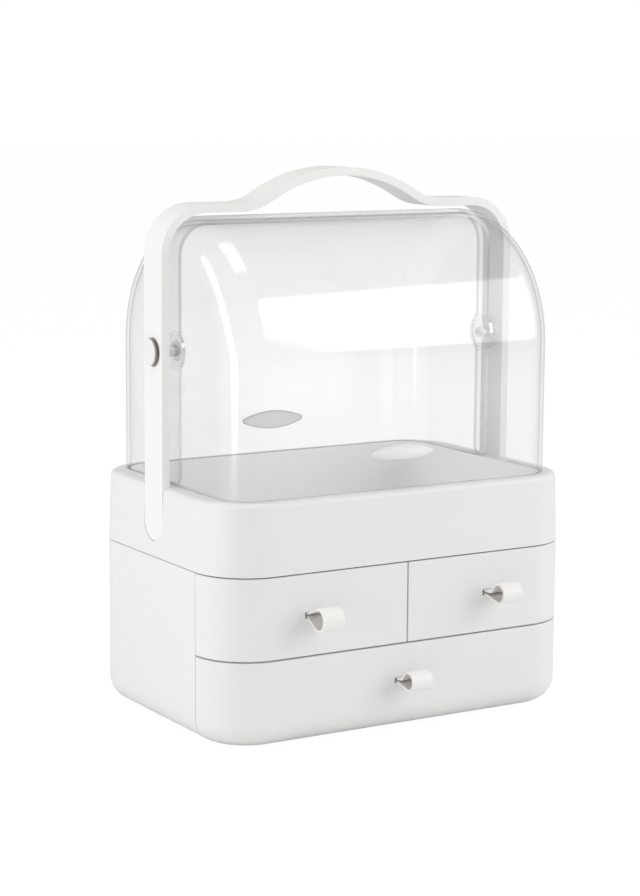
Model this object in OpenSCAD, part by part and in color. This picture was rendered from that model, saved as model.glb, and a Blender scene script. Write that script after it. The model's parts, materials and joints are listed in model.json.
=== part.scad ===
// Dustproof makeup organizer: a drawer cabinet, an open tray under a clear two-piece dome, and a
// carrying handle that straddles the dome. Millimetres. X runs right, Y back, Z up.
// The origin is on the resting surface, under the middle of the closed box with its pulls.

/* [Body] */
// Width of the cabinet and tray
body_w = 298; // [284:1:320]
// Depth from the drawer faces to the back
body_d = 204; // [198:1:216]
// Plan radius of the four upright corners
corner_r = 40; // [37:1:43]
// Radius along the bottom edge
base_r = 17; // [14:1:18]
// Gap under the cabinet that the feet leave
foot_lift = 1.2; // [0.8:0.1:1.6]
// Wall thickness of the cabinet and the drawer fronts
wall = 3; // [2.8:0.1:3.2]

/* [Heights] */
// Seam between the wide drawer and the two small ones
low_seam_z = 63.5; // [60:0.5:66]
// Seam between the small drawers and the tray
top_seam_z = 122; // [118:0.5:126]
// Rim of the tray, where the dome stands
rim_z = 173; // [170:0.5:177]
// Axis that the front cover turns about
pivot_z = 268; // [265:0.5:272]

/* [Dome] */
// How far the pivot axis sits behind the middle of the cabinet
pivot_y = 2; // [0:0.5:3]
// Radius of the arch, and half the depth of the dome
dome_r = 94; // [92:0.5:94]
// Plan radius of the dome's corners
dome_corner_r = 26; // [24:0.5:28]
// Thickness of the clear covers
cover_t = 2.5; // [2:0.1:2.8]
// Gap between the front cover and the rear cover nested in it
cover_gap = 0.5; // [0.4:0.1:0.8]
// How far each cover reaches past the pivot axis
cover_lap = 9; // [7:0.5:9.5]

/* [Handle] */
// Width of the handle strap
strap_w = 27; // [24:0.5:28]
// Thickness of the handle strap
strap_t = 6; // [5.5:0.1:6.5]
// How far the legs sit in from the width of the body
leg_inset = 1.1; // [0.8:0.1:1.4]
// Outside radius of the handle's shoulders
shoulder_r = 35; // [32:1:38]
// Height of the wave above the flat of the handle
grip_rise = 24; // [20:0.5:28]
// Half the length of the wave
grip_half = 84; // [80:1:88]
// Outside radius of the crown of the wave
crown_r = 118; // [110:1:122]

/* [Drawers] */
// Gap between neighbouring drawer fronts
front_gap = 1; // [0.8:0.1:1.2]
// Wall thickness of the drawer boxes
box_t = 2; // [1.8:0.1:2.4]
// Width of the pull straps
pull_w = 16.8; // [16:0.1:18]
// How far the longest pull loop stands out of the fronts
pull_reach = 24; // [22:0.5:25]

/* [Hidden] */
$fn = 96;
eps = 0.01;
big = 500;

// The modules put Y = 0 at mid depth of the cabinet, so everything moves back by half the reach
// of the pulls at the end.
frame_y = pull_reach / 2;

// Colours
white_body = [0.93, 0.93, 0.93];
white_drawer = [0.90, 0.91, 0.92];
clear_grey = [0.78, 0.82, 0.86, 0.35];
strap_white = [0.95, 0.95, 0.94];
dark = [0.16, 0.16, 0.17];
steel = [0.66, 0.67, 0.69];
badge_grey = [0.55, 0.56, 0.58];

// Cabinet: the fronts wrap the corners up to this plane
face_y = -body_d / 2;
back_y = body_d / 2;
wrap_y = face_y + corner_r;
slide_gap = 0.8;
deck_t = 3;
deck_z = top_seam_z - deck_t;
shelf_t = 2.5;
shelf_z = low_seam_z - shelf_t / 2;
divider_t = 2.5;
inner_w = body_w - 2 * wall;
inner_d = body_d - 2 * wall;
inner_r = corner_r - wall;
floor_z = foot_lift + wall;
edge_r = 0.8;
shell_edge_r = 0.4;
cleat = 3;
stop_h = 2.2;
stop_t = 3;
stop_w = 30;
stop_y = wrap_y + 2;

// Feet
foot_r = 8;
foot_edge_r = 0.6;
foot_sink = 1.6;
foot_inset = 41;
foot_x = body_w / 2 - foot_inset;
foot_back = 14;
foot_front_y = wrap_y + foot_back;
foot_rear_inset = 40;
foot_rear_y = back_y - foot_rear_inset;

// Tray
tray_draft = 1.6;
rim_r = 4;
shadow_gap = 0.6;
tray_t = 2.5;
bowl_half_w = 129;
bowl_front_inset = 3.5;
bowl_back_inset = 6.5;
bowl_front = pivot_y - dome_r + bowl_front_inset;
bowl_back = pivot_y + dome_r - bowl_back_inset;
bowl_r = 20;
bowl_base_r = 6;
draft_a = atan(tray_draft / (rim_z - rim_r - top_seam_z));

// Handle, seen from the front as arcs and straights
leg_x = body_w / 2 - leg_inset;
dome_clear = 3;
flat_z = pivot_z + dome_r + dome_clear + strap_t;
crown_z = flat_z + grip_rise;
shoulder_x = leg_x - shoulder_r;
shoulder_z = flat_z - shoulder_r;
crown_cz = crown_z - crown_r;
dip_r = (grip_half * grip_half + grip_rise * grip_rise) / (2 * grip_rise) - crown_r;
dip_cz = flat_z + dip_r;
wave_a = asin(grip_half / (crown_r + dip_r));
leg_sink = 26;
leg_end_z = rim_z - leg_sink;
pocket_gap = 0.3;
pocket_reach = 20;
pocket_rim = 4;
pocket_skin = 1.5;
handle_screw_drop = 6;
handle_screw_rise = 10;
handle_screw_grip = 4;
handle_screw_z = [leg_end_z - handle_screw_drop, leg_end_z + handle_screw_rise];

// Dome
boss_gap = 0.4;
boss_len = 6;
boss_r = 12;
lobe_r = 15;
cover_half_w = leg_x - strap_t - boss_gap - boss_len;
cover_seat = 0.3;
cover_foot_r = 6;
rear_half_w = cover_half_w - cover_t - cover_gap;
rear_r = dome_r - cover_t - cover_gap;
rear_corner_r = dome_corner_r - cover_t - cover_gap;
tab_w = 51;
tab_h = 13;
tab_rise = 25.5;
tab_z = rim_z + tab_rise;
tip_half_h = 1.2;
scoop_r = 4.4;
scoop_out = 3.2;
scoop_drop = 0.8;
scoop_half_w = 15.3;
badge_t = 0.8;

// Pivots
pin_r = 4;
run_gap = 0.05;
knob_r = 9.5;
knob_t = 1.9;
knob_stand = 1.6;
knob_edge_r = 0.7;
stem_grip = 0.5;
washer_r = 10;
washer_t = 3;
washer_play = 0.2;
recess_depth = 3.5;
cap_r = 7.5;
cap_t = 2.8;
cap_nose = 1.8;
nose_r = 3;
cap_slot_w = 1.2;
cap_slot_depth = 0.8;
cap_slot_turn = 40;

// Screws: pan heads on plain shanks
shank_r = 1.5;
head_r = 3;
head_h = 2;
head_dome_r = 3.75;
head_dome_z = 1;
socket_r = 0.9;
socket_depth = 0.9;
screw_play = 0.2;
hole_spare = 1.5;
tray_screw_inset = 9.9;
tray_screw_x = leg_x - tray_screw_inset;
tray_screw_y = [-50, 56];
tray_screw_len = 12;
tray_boss_r = 4.5;

// Drawers, listed as left, right and bottom
LEFT = 0;
RIGHT = 1;
BOTTOM = 2;
upper_x = body_w / 4;
mid_x = [-upper_x, upper_x, 0];
front_x = [
    [-body_w / 2 - 1, -front_gap / 2],
    [front_gap / 2, body_w / 2 + 1],
    [-body_w / 2 - 1, body_w / 2 + 1]
];
upper_front_gap = 0.3;
upper_front_z = [low_seam_z + front_gap / 2, top_seam_z - upper_front_gap];
front_z = [upper_front_z, upper_front_z, [foot_lift, low_seam_z - front_gap / 2]];
front_low_r = [edge_r, edge_r, base_r];
wrap_gap = [0.12, 0.12, 0.3];
box_half_w = inner_w / 2 - slide_gap;
bay_x = divider_t / 2 + slide_gap;
box_x = [[-box_half_w, -bay_x], [bay_x, box_half_w], [-box_half_w, box_half_w]];
box_front = face_y + wall;
box_back_gap = 1.5;
box_back = back_y - wall - box_back_gap;
box_r = inner_r - slide_gap;
floor_gap = 0.5;
upper_floor_gap = 0.4;
box_head = 4.8;
upper_box_head = 4;
upper_box_z = [shelf_z + shelf_t + upper_floor_gap, deck_z - upper_box_head];
box_z = [upper_box_z, upper_box_z, [floor_z + floor_gap, shelf_z - box_head]];
upper_box_low_r = 3;
box_low_r = [upper_box_low_r, upper_box_low_r, base_r - wall - floor_gap];
lip_t = 2;
lip_w = 24;
lip_gap = 0.8;
lip_top = [deck_z - lip_gap, deck_z - lip_gap, shelf_z - lip_gap];
upper_pull_z = (low_seam_z + top_seam_z) / 2;
low_pull_z = 37.2;
pull_z = [upper_pull_z, upper_pull_z, low_pull_z];
pull_t = 1.5;
ply_gap = 0.8;
ply_z = pull_t + ply_gap / 2;
slot_play = 1.35;
slot_rise = 0.2;
slot_w = pull_w + 2 * slot_play;
slot_h = 2 * (ply_z + slot_rise);
bar_r = 1.5;
bar_y = box_front + box_t + bar_r + pull_t;
bar_over = 3;
bar_len = slot_w + 2 * bar_over;
// The straps are soft, so each loop lies its own way: its round end's radius, how far it stands
// out, how far its middle lies above the slot, and the bend in its upper ply (0: straight)
loop_r = [8.2, 7.4, 6.9];
loop_reach = [pull_reach - 1.4, pull_reach, pull_reach - 3.3];
loop_rise = [-0.9, 1.8, 1.9];
loop_bend_r = [0, 5, 5];
bend_steps = 8;
joint_bite = 0.05;
box_screw_inset = 8;
outer_screw_x = box_half_w - box_r - box_screw_inset;
inner_screw_x = bay_x + box_screw_inset;
box_screw_x = [
    [-outer_screw_x, -inner_screw_x],
    [inner_screw_x, outer_screw_x],
    [-outer_screw_x, outer_screw_x]
];
box_screw_grip = 2;
box_screw_len = box_t + box_screw_grip;

// ---------- Shared shapes ----------

// Half section of a block's side: square in from the corner's axis, with round edges below and above
module side_profile(r, z0, z1, low_r, high_r)
{
    translate([0, z0 + low_r])
        square([r, z1 - z0 - low_r - high_r]);
    if (low_r > 0) {
        translate([0, z0])
            square([r - low_r, z1 - z0 - high_r]);
        translate([r - low_r, z0 + low_r])
            circle(low_r);
    }
    if (high_r > 0) {
        translate([0, z0 + low_r])
            square([r - high_r, z1 - z0 - low_r]);
        translate([r - high_r, z1 - high_r])
            circle(high_r);
    }
}

// Carries a half section round a rectangle with round corners, and fills the middle
module plan_sweep(w, d, r, z0, z1)
{
    for (k = [0:3]) {
        along = (k % 2 == 0 ? d : w) / 2 - r;
        out = (k % 2 == 0 ? w : d) / 2 - r;
        rotate([0, 0, 90 * k])
            translate([out, along, 0]) {
                rotate_extrude(angle = 90)
                    children();
                rotate([90, 0, 0])
                    linear_extrude(2 * along)
                        children();
            }
    }
    translate([r - w / 2, r - d / 2, z0])
        cube([w - 2 * r, d - 2 * r, z1 - z0]);
}

// Upright block with round corners, a round lower edge and a small round upper edge
module round_block(w, d, r, z0, z1, low_r = 0, high_r = 0)
{
    plan_sweep(w, d, r, z0, z1)
        side_profile(r, z0, z1, low_r, high_r);
}

// Plain upright block with round corners
module plain_block(w, d, r, z0, z1)
{
    translate([0, 0, z0])
        linear_extrude(z1 - z0)
            round_rect(w, d, r);
}

module round_rect(w, d, r)
{
    square([w - 2 * r, d], center = true);
    square([w, d - 2 * r], center = true);
    for (x = [-1, 1], y = [-1, 1])
        translate([x * (w / 2 - r), y * (d / 2 - r)])
            circle(r);
}

// Everything in front of the plane y
module before_y(y)
{
    translate([-big, y - big, -big / 2])
        cube([2 * big, big, 2 * big]);
}

// Box between two corners
module span(a, b)
{
    translate(a)
        cube(b - a);
}

// Puts its children on both sides, mirrored across the middle plane
module both_sides()
{
    for (s = [0, 1])
        mirror([s, 0, 0])
            children();
}

// Cylinder along X from x0 to x1
module rod_x(r, x0, x1)
{
    translate([x0, 0, 0])
        rotate([0, 90, 0])
            cylinder(r = r, h = x1 - x0);
}

// Cylinder along Y from y0 to y1
module rod_y(r, y0, y1)
{
    translate([0, y1, 0])
        rotate([90, 0, 0])
            cylinder(r = r, h = y1 - y0);
}

// Pan-head screw along +Z, its head's bearing face at z = 0
module pan_screw(len)
{
    cylinder(r = shank_r, h = len);
    rotate_extrude()
        difference() {
            intersection() {
                translate([0, -head_h])
                    square([head_r, head_h]);
                translate([0, head_dome_z])
                    circle(head_dome_r);
            }
            translate([-1, -head_h - 1])
                square([1 + socket_r, 1 + socket_depth]);
        }
}

// ---------- Cabinet ----------

module cabinet_shell()
{
    color(white_body)
        difference() {
            union() {
                difference() {
                    round_block(body_w, body_d, corner_r, foot_lift, top_seam_z, base_r, shell_edge_r);
                    round_block(inner_w, inner_d, inner_r, floor_z, deck_z, base_r - wall);
                }
                both_sides()
                    span([inner_w / 2 - cleat, wrap_y, shelf_z - cleat],
                         [inner_w / 2 + 1, -wrap_y, shelf_z]);
                both_sides()
                    span([upper_x - stop_w / 2, stop_y, deck_z - stop_h],
                         [upper_x + stop_w / 2, stop_y + stop_t, deck_z + 1]);
            }
            before_y(wrap_y);
            at_feet()
                translate([0, 0, -1])
                    cylinder(r = foot_r, h = 1 + foot_lift + foot_sink);
            at_tray_screws()
                translate([0, 0, deck_z - 1])
                    cylinder(r = shank_r + screw_play, h = deck_t + 2);
        }
}

module at_feet()
{
    for (x = [-foot_x, foot_x], y = [foot_front_y, foot_rear_y])
        translate([x, y, 0])
            children();
}

module at_tray_screws()
{
    for (x = [-tray_screw_x, tray_screw_x], y = tray_screw_y)
        translate([x, y, 0])
            children();
}

module foot(x, y)
{
    color(dark)
        translate([x, y, 0])
            rotate_extrude() {
                square([foot_r - foot_edge_r, foot_lift + foot_sink]);
                translate([0, foot_edge_r])
                    square([foot_r, foot_lift + foot_sink - foot_edge_r]);
                translate([foot_r - foot_edge_r, foot_edge_r])
                    circle(foot_edge_r);
            }
}

module foot_front_left() { foot(-foot_x, foot_front_y); }
module foot_front_right() { foot(foot_x, foot_front_y); }
module foot_rear_left() { foot(-foot_x, foot_rear_y); }
module foot_rear_right() { foot(foot_x, foot_rear_y); }

// Plate on the cleats; its front part is narrower, because the drawer fronts wrap round it
module drawer_shelf()
{
    front_w = inner_w - 2 * slide_gap;
    color(white_body) {
        difference() {
            plain_block(inner_w, inner_d, inner_r, shelf_z, shelf_z + shelf_t);
            before_y(wrap_y);
        }
        intersection() {
            plain_block(front_w, inner_d - 2 * slide_gap, inner_r - slide_gap, shelf_z, shelf_z + shelf_t);
            before_y(wrap_y + eps);
        }
        span([-stop_w / 2, stop_y, shelf_z - stop_h], [stop_w / 2, stop_y + stop_t, shelf_z + eps]);
    }
}

module bay_divider()
{
    color(white_body)
        span([-divider_t / 2, face_y + wall + slide_gap, shelf_z + shelf_t],
             [divider_t / 2, back_y - wall, deck_z]);
}

// ---------- Tray ----------

// Half section of the tray's outside: leaning side, round rim
module tray_profile()
{
    z0 = top_seam_z + shadow_gap;
    cz = rim_z - rim_r;
    cx = corner_r - (rim_r + (cz - z0) * sin(draft_a)) / cos(draft_a);
    polygon([
        [0, z0], [corner_r, z0],
        [cx + rim_r * cos(draft_a), cz + rim_r * sin(draft_a)],
        [cx, rim_z], [0, rim_z]
    ]);
    translate([cx, cz])
        circle(rim_r);
}

module bowl(grow, z0, z1, low_r)
{
    w = 2 * (bowl_half_w + grow);
    d = bowl_back - bowl_front + 2 * grow;
    translate([0, (bowl_back + bowl_front) / 2, 0])
        round_block(w, d, bowl_r + grow, z0, z1, low_r);
}

module tray()
{
    skirt_w = body_w - 2 * (tray_draft + tray_t);
    skirt_d = body_d - 2 * (tray_draft + tray_t);
    skirt_r = corner_r - tray_draft - tray_t;
    color(white_body)
        difference() {
            union() {
                difference() {
                    plan_sweep(body_w, body_d, corner_r, top_seam_z + shadow_gap, rim_z)
                        tray_profile();
                    plain_block(skirt_w, skirt_d, skirt_r, top_seam_z, rim_z - tray_t);
                }
                bowl(tray_t, top_seam_z, rim_z - tray_t + eps, bowl_base_r + tray_t);
                at_tray_screws()
                    translate([0, 0, top_seam_z])
                        cylinder(r = tray_boss_r, h = rim_z - tray_t + eps - top_seam_z);
                both_sides()
                    span([leg_x - strap_t - tray_t, pivot_y - strap_w / 2 - pocket_rim, top_seam_z + shadow_gap + pocket_rim],
                         [leg_x - pocket_skin, pivot_y + strap_w / 2 + pocket_rim, rim_z - 1]);
            }
            bowl(0, top_seam_z + tray_t, rim_z + 1, bowl_base_r);
            both_sides()
                leg_pocket();
            at_tray_screws()
                translate([0, 0, top_seam_z - 1])
                    cylinder(r = shank_r, h = 1 + tray_screw_len - deck_t + hole_spare);
            at_handle_screws()
                rod_x(shank_r + screw_play, leg_x - strap_t - tray_t - 1, leg_x - strap_t + 1);
        }
}

// Recess in the tray's side that takes the lower end of a leg
module leg_pocket()
{
    r = strap_w / 2 + pocket_gap;
    x0 = leg_x - strap_t;
    translate([0, pivot_y, leg_end_z]) {
        rod_x(r, x0, x0 + pocket_reach);
        span([x0, -r, 0], [x0 + pocket_reach, r, leg_sink + 5]);
    }
}

module tray_screws()
{
    color(steel)
        at_tray_screws()
            translate([0, 0, deck_z])
                pan_screw(tray_screw_len);
}

// ---------- Handle ----------

// Front view of all that the strap encloses, drawn in by a margin: legs, shoulders, flats and wave
module handle_outline(margin)
{
    x = leg_x - margin;
    top = flat_z - margin;
    r = shoulder_r - margin;
    join_r = crown_r - margin;
    join = [join_r * sin(wave_a), crown_cz + join_r * cos(wave_a)];
    difference() {
        union() {
            translate([-x, leg_end_z])
                square([2 * x, shoulder_z - leg_end_z]);
            translate([-shoulder_x, leg_end_z])
                square([2 * shoulder_x, top - leg_end_z]);
            for (side = [-1, 1])
                translate([side * shoulder_x, shoulder_z])
                    circle(r);
            polygon([
                [-grip_half, top], [-join[0], join[1]], [0, crown_cz + join_r],
                join, [grip_half, top], [0, shoulder_z]
            ]);
            intersection() {
                translate([0, crown_cz])
                    circle(join_r);
                translate([-shoulder_x, shoulder_z])
                    square([2 * shoulder_x, crown_z]);
            }
        }
        for (side = [-1, 1])
            translate([side * grip_half, dip_cz])
                circle(dip_r + margin);
    }
}

// Half-round lower end of a leg
module strap_end()
{
    intersection() {
        translate([0, pivot_y, leg_end_z])
            rod_x(strap_w / 2, leg_x - strap_t, leg_x);
        span([0, -body_d, 0], [body_w, body_d, leg_end_z]);
    }
}

module handle()
{
    color(white_body)
        difference() {
            union() {
                translate([0, pivot_y + strap_w / 2, 0])
                    rotate([90, 0, 0])
                        linear_extrude(strap_w)
                            difference() {
                                handle_outline(0);
                                handle_outline(strap_t);
                            }
                both_sides()
                    strap_end();
            }
            both_sides()
                translate([0, pivot_y, pivot_z]) {
                    rod_x(pin_r, leg_x - strap_t - 1, leg_x + 1);
                    rod_x(washer_r + washer_play, leg_x - recess_depth, leg_x + 1);
                }
            at_handle_screws()
                rod_x(shank_r, leg_x - strap_t - 1, leg_x - strap_t + handle_screw_grip);
        }
}

module at_handle_screws()
{
    both_sides()
        for (z = handle_screw_z)
            translate([0, pivot_y, z])
                children();
}

module handle_screws()
{
    color(steel)
        at_handle_screws()
            translate([leg_x - strap_t - tray_t, 0, 0])
                rotate([0, 90, 0])
                    pan_screw(tray_t + handle_screw_grip);
}

// ---------- Dome ----------

// Solid dome about the pivot axis: an arch with round ends on the same plan carried down to z0
module dome_solid(half_w, r, end_r, z0)
{
    rotate([0, 90, 0])
        rotate([0, 0, 90])
            rotate_extrude(angle = 180)
                intersection() {
                    rotate(90)
                        round_rect(2 * half_w, 2 * r, end_r);
                    translate([0, -half_w])
                        square([r, 2 * half_w]);
                }
    translate([0, 0, z0])
        linear_extrude(-z0)
            round_rect(2 * half_w, 2 * r, end_r);
}

module dome_shell(half_w, r, end_r, foot)
{
    difference() {
        dome_solid(half_w, r, end_r, foot);
        dome_solid(half_w - cover_t, r - cover_t, end_r - cover_t, foot - 1);
    }
}

// Side view of what a cover keeps: one side of the plane y = lap, a lobe at the pivot and a round foot
module cover_side(lap, reach, foot)
{
    difference() {
        translate([-reach, foot - eps])
            square([reach + lap, reach - foot]);
        difference() {
            translate([lap - cover_foot_r, foot - 1])
                square([cover_foot_r + 1, cover_foot_r + 1]);
            translate([lap - cover_foot_r, foot + cover_foot_r])
                circle(cover_foot_r);
        }
    }
    circle(lobe_r);
}

// Holds a side view up as a wide prism across X; the view's x axis runs along +Y
module side_prism(w)
{
    translate([-w / 2, 0, 0])
        rotate([90, 0, 90])
            linear_extrude(w)
                children();
}

module front_cover()
{
    foot = rim_z + cover_seat - pivot_z;
    color(clear_grey)
        translate([0, pivot_y, pivot_z])
            difference() {
                union() {
                    intersection() {
                        dome_shell(cover_half_w, dome_r, dome_corner_r, foot);
                        side_prism(2 * cover_half_w + 2)
                            cover_side(cover_lap, 2 * dome_r, foot);
                    }
                    both_sides()
                        rod_x(boss_r, cover_half_w - 1, cover_half_w + boss_len);
                }
                rod_x(pin_r + run_gap, -big / 2, big / 2);
            }
}

module rear_cover()
{
    foot = rim_z - pivot_z;
    color(clear_grey)
        translate([0, pivot_y, pivot_z])
            difference() {
                intersection() {
                    dome_shell(rear_half_w, rear_r, rear_corner_r, foot);
                    side_prism(2 * rear_half_w + 2)
                        mirror([1, 0])
                            cover_side(cover_lap, 2 * dome_r, foot);
                }
                rod_x(pin_r + run_gap, -big / 2, big / 2);
            }
}

// Oval, w long and h high: two wide arcs, its tips blunted by a circle round the middle
module oval(w, h)
{
    rise = h / 2 - tip_half_h;
    side_r = (w * w / 4 + rise * rise) / (2 * rise);
    intersection() {
        translate([0, side_r - h / 2])
            circle(side_r);
        translate([0, h / 2 - side_r])
            circle(side_r);
        circle(w / 2);
    }
}

module lift_tab()
{
    y = pivot_y - dome_r;
    color(white_body)
        translate([0, y, tab_z])
            difference() {
                rotate([0, 90, 0])
                    rotate_extrude()
                        intersection() {
                            rotate(90)
                                oval(tab_w, tab_h);
                            translate([0, -tab_w])
                                square([tab_w, 2 * tab_w]);
                        }
                translate([-tab_w, 0, -tab_h])
                    cube([2 * tab_w, tab_h, 2 * tab_h]);
                translate([0, -scoop_out, -tab_h / 2 - scoop_drop])
                    rod_x(scoop_r, -scoop_half_w, scoop_half_w);
            }
}

module rear_badge()
{
    y = pivot_y + rear_r - cover_t;
    color(badge_grey)
        translate([0, y, tab_z])
            rotate([90, 0, 0])
                linear_extrude(badge_t)
                    oval(tab_w, tab_h);
}

// ---------- Pivots ----------

// Knob, stem and nose of the right-hand pin, turned in one piece
module pivot_pin()
{
    cap_x = leg_x + knob_stand;
    nose_x = rear_half_w - cover_t - cap_nose;
    color(white_body)
        translate([0, pivot_y, pivot_z]) {
            rod_x(pin_r, rear_half_w - cover_t, cap_x + stem_grip);
            rod_x(nose_r, nose_x, rear_half_w - cover_t + eps);
            translate([cap_x, 0, 0])
                rotate([0, 90, 0])
                    rotate_extrude() {
                        square([knob_r - knob_edge_r, knob_t]);
                        translate([0, knob_edge_r])
                            square([knob_r, knob_t - 2 * knob_edge_r]);
                        for (z = [knob_edge_r, knob_t - knob_edge_r])
                            translate([knob_r - knob_edge_r, z])
                                circle(knob_edge_r);
                    }
        }
}

module pivot_washer()
{
    x0 = leg_x - recess_depth;
    color(dark)
        translate([0, pivot_y, pivot_z])
            difference() {
                rod_x(washer_r, x0, x0 + washer_t);
                rod_x(pin_r, x0 - 1, x0 + washer_t + 1);
            }
}

// Slotted cap on the nose of the pin, inside the dome
module pivot_cap()
{
    x1 = rear_half_w - cover_t;
    color(white_body)
        translate([x1, pivot_y, pivot_z])
            difference() {
                rotate([0, -90, 0])
                    rotate_extrude()
                        intersection() {
                            square([cap_r, cap_t]);
                            translate([0, cap_t - 2 * cap_r])
                                circle(2 * cap_r);
                        }
                rod_x(nose_r, -cap_nose, 1);
                rotate([cap_slot_turn, 0, 0])
                    span([-cap_t - 1, -cap_slot_w / 2, -cap_r], [cap_slot_depth - cap_t, cap_slot_w / 2, cap_r]);
            }
}

module pivot_knob_right() { pivot_pin(); }
module pivot_knob_left() { mirror([1, 0, 0]) pivot_pin(); }
module pivot_washer_right() { pivot_washer(); }
module pivot_washer_left() { mirror([1, 0, 0]) pivot_washer(); }
module pivot_cap_right() { pivot_cap(); }
module pivot_cap_left() { mirror([1, 0, 0]) pivot_cap(); }

// ---------- Drawers ----------

// Front of drawer k: a slice of the cabinet's shell that wraps the corners
module drawer_front(k)
{
    zs = front_z[k];
    base = k == BOTTOM;
    color(white_drawer)
        difference() {
            intersection() {
                difference() {
                    round_block(body_w, body_d, corner_r, zs[0], zs[1], front_low_r[k], edge_r);
                    round_block(inner_w, inner_d, inner_r, base ? floor_z : zs[0] - 1, zs[1] + 1,
                                base ? base_r - wall : 0);
                }
                span([front_x[k][0], face_y - 1, zs[0] - 1], [front_x[k][1], wrap_y - wrap_gap[k], zs[1] + 2]);
            }
            pull_slot(k);
            at_box_screws(k)
                rod_y(shank_r, box_front - box_screw_grip, box_front + 1);
        }
}

module pull_slot(k)
{
    translate([mid_x[k], 0, pull_z[k]])
        span([-slot_w / 2, face_y - 1, -slot_h / 2], [slot_w / 2, box_front + box_t + 1, slot_h / 2]);
}

module at_box_screws(k)
{
    for (x = box_screw_x[k])
        translate([x, 0, pull_z[k]])
            children();
}

// Box of drawer k, which follows the cabinet's corners and has a stop lip on its back wall
module drawer_box(k)
{
    zs = box_z[k];
    color(white_drawer)
        difference() {
            union() {
                difference() {
                    box_block(k, 0, zs[0], zs[1]);
                    box_block(k, box_t, zs[0] + box_t, zs[1] + 1);
                }
                span([mid_x[k] - lip_w / 2, box_back - lip_t, zs[0] + box_low_r[k]],
                     [mid_x[k] + lip_w / 2, box_back, lip_top[k]]);
            }
            pull_slot(k);
            at_box_screws(k)
                rod_y(shank_r + screw_play, box_front - 1, box_front + box_t + 1);
        }
}

// Outline of a box, drawn in by a margin all round
module box_block(k, margin, z0, z1)
{
    xs = box_x[k];
    intersection() {
        translate([0, (box_back + box_front) / 2, 0])
            round_block(2 * (box_half_w - margin), box_back - box_front - 2 * margin, box_r - margin,
                        z0, z1, box_low_r[k] - margin);
        span([xs[0] + margin, -body_d, z0 - 1], [xs[1] - margin, body_d, z1 + 1]);
    }
}

module drawer_screws(k)
{
    color(steel)
        at_box_screws(k)
            translate([0, box_front + box_t, 0])
                rotate([90, 0, 0])
                    pan_screw(box_screw_len);
}

// Side view of all that loop k encloses in front of the slot, drawn in by a margin
module loop_side(k, margin)
{
    c = [loop_r[k] - loop_reach[k], loop_rise[k]];
    r = loop_r[k] - margin;
    start = ply_z - margin;
    joint_r = r - joint_bite;
    below = atan2(-start - c[1], -c[0]) - acos(joint_r / norm([c[0], start + c[1]]));
    above = atan2(start - c[1], -c[0]) + acos(joint_r / norm([c[0], start - c[1]]));
    low = c + joint_r * [cos(below), sin(below)];
    high = c + joint_r * [cos(above), sin(above)];
    bend_r = loop_bend_r[k];
    centres = bend_r + loop_r[k] - joint_bite;
    rise = ply_z + bend_r - c[1];
    bend_c = c + [sqrt(centres * centres - rise * rise), rise];
    turn = 90 - asin(rise / centres);
    bend = [for (i = [0:bend_steps])
        bend_c - (bend_r + margin) * [sin(turn * i / bend_steps), cos(turn * i / bend_steps)]];
    translate(c)
        circle(r);
    polygon(concat([low, [0, -start], [0, start]], bend_r > 0 ? bend : [high], [c]));
}

// Strap folded round a bar inside the drawer, two plies through the slot and a loop outside
module pull_loop(k)
{
    tail = bar_y - face_y;
    color(strap_white)
        translate([mid_x[k], face_y, pull_z[k]])
            side_prism(pull_w)
                difference() {
                    union() {
                        loop_side(k, 0);
                        translate([0, -ply_z])
                            square([tail, 2 * ply_z]);
                        translate([tail, 0])
                            circle(bar_r + pull_t);
                    }
                    loop_side(k, pull_t);
                    translate([0, -ply_gap / 2])
                        square([tail, ply_gap]);
                    translate([tail, 0])
                        circle(bar_r);
                }
}

module pull_bar(k)
{
    color(steel)
        translate([mid_x[k], bar_y, pull_z[k]])
            rod_x(bar_r, -bar_len / 2, bar_len / 2);
}

module left_drawer_front() { drawer_front(LEFT); }
module left_drawer_box() { drawer_box(LEFT); }
module left_drawer_screws() { drawer_screws(LEFT); }
module left_pull_loop() { pull_loop(LEFT); }
module left_pull_bar() { pull_bar(LEFT); }
module right_drawer_front() { drawer_front(RIGHT); }
module right_drawer_box() { drawer_box(RIGHT); }
module right_drawer_screws() { drawer_screws(RIGHT); }
module right_pull_loop() { pull_loop(RIGHT); }
module right_pull_bar() { pull_bar(RIGHT); }
module bottom_drawer_front() { drawer_front(BOTTOM); }
module bottom_drawer_box() { drawer_box(BOTTOM); }
module bottom_drawer_screws() { drawer_screws(BOTTOM); }
module bottom_pull_loop() { pull_loop(BOTTOM); }
module bottom_pull_bar() { pull_bar(BOTTOM); }

module in_frame()
{
    translate([0, frame_y, 0])
        children();
}

in_frame() cabinet_shell();
in_frame() drawer_shelf();
in_frame() bay_divider();
in_frame() foot_front_left();
in_frame() foot_front_right();
in_frame() foot_rear_left();
in_frame() foot_rear_right();
in_frame() tray();
in_frame() tray_screws();
in_frame() handle();
in_frame() handle_screws();
in_frame() front_cover();
in_frame() lift_tab();
in_frame() rear_cover();
in_frame() rear_badge();
in_frame() pivot_knob_left();
in_frame() pivot_knob_right();
in_frame() pivot_washer_left();
in_frame() pivot_washer_right();
in_frame() pivot_cap_left();
in_frame() pivot_cap_right();
in_frame() left_drawer_front();
in_frame() left_drawer_box();
in_frame() left_drawer_screws();
in_frame() left_pull_loop();
in_frame() left_pull_bar();
in_frame() right_drawer_front();
in_frame() right_drawer_box();
in_frame() right_drawer_screws();
in_frame() right_pull_loop();
in_frame() right_pull_bar();
in_frame() bottom_drawer_front();
in_frame() bottom_drawer_box();
in_frame() bottom_drawer_screws();
in_frame() bottom_pull_loop();
in_frame() bottom_pull_bar();
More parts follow.
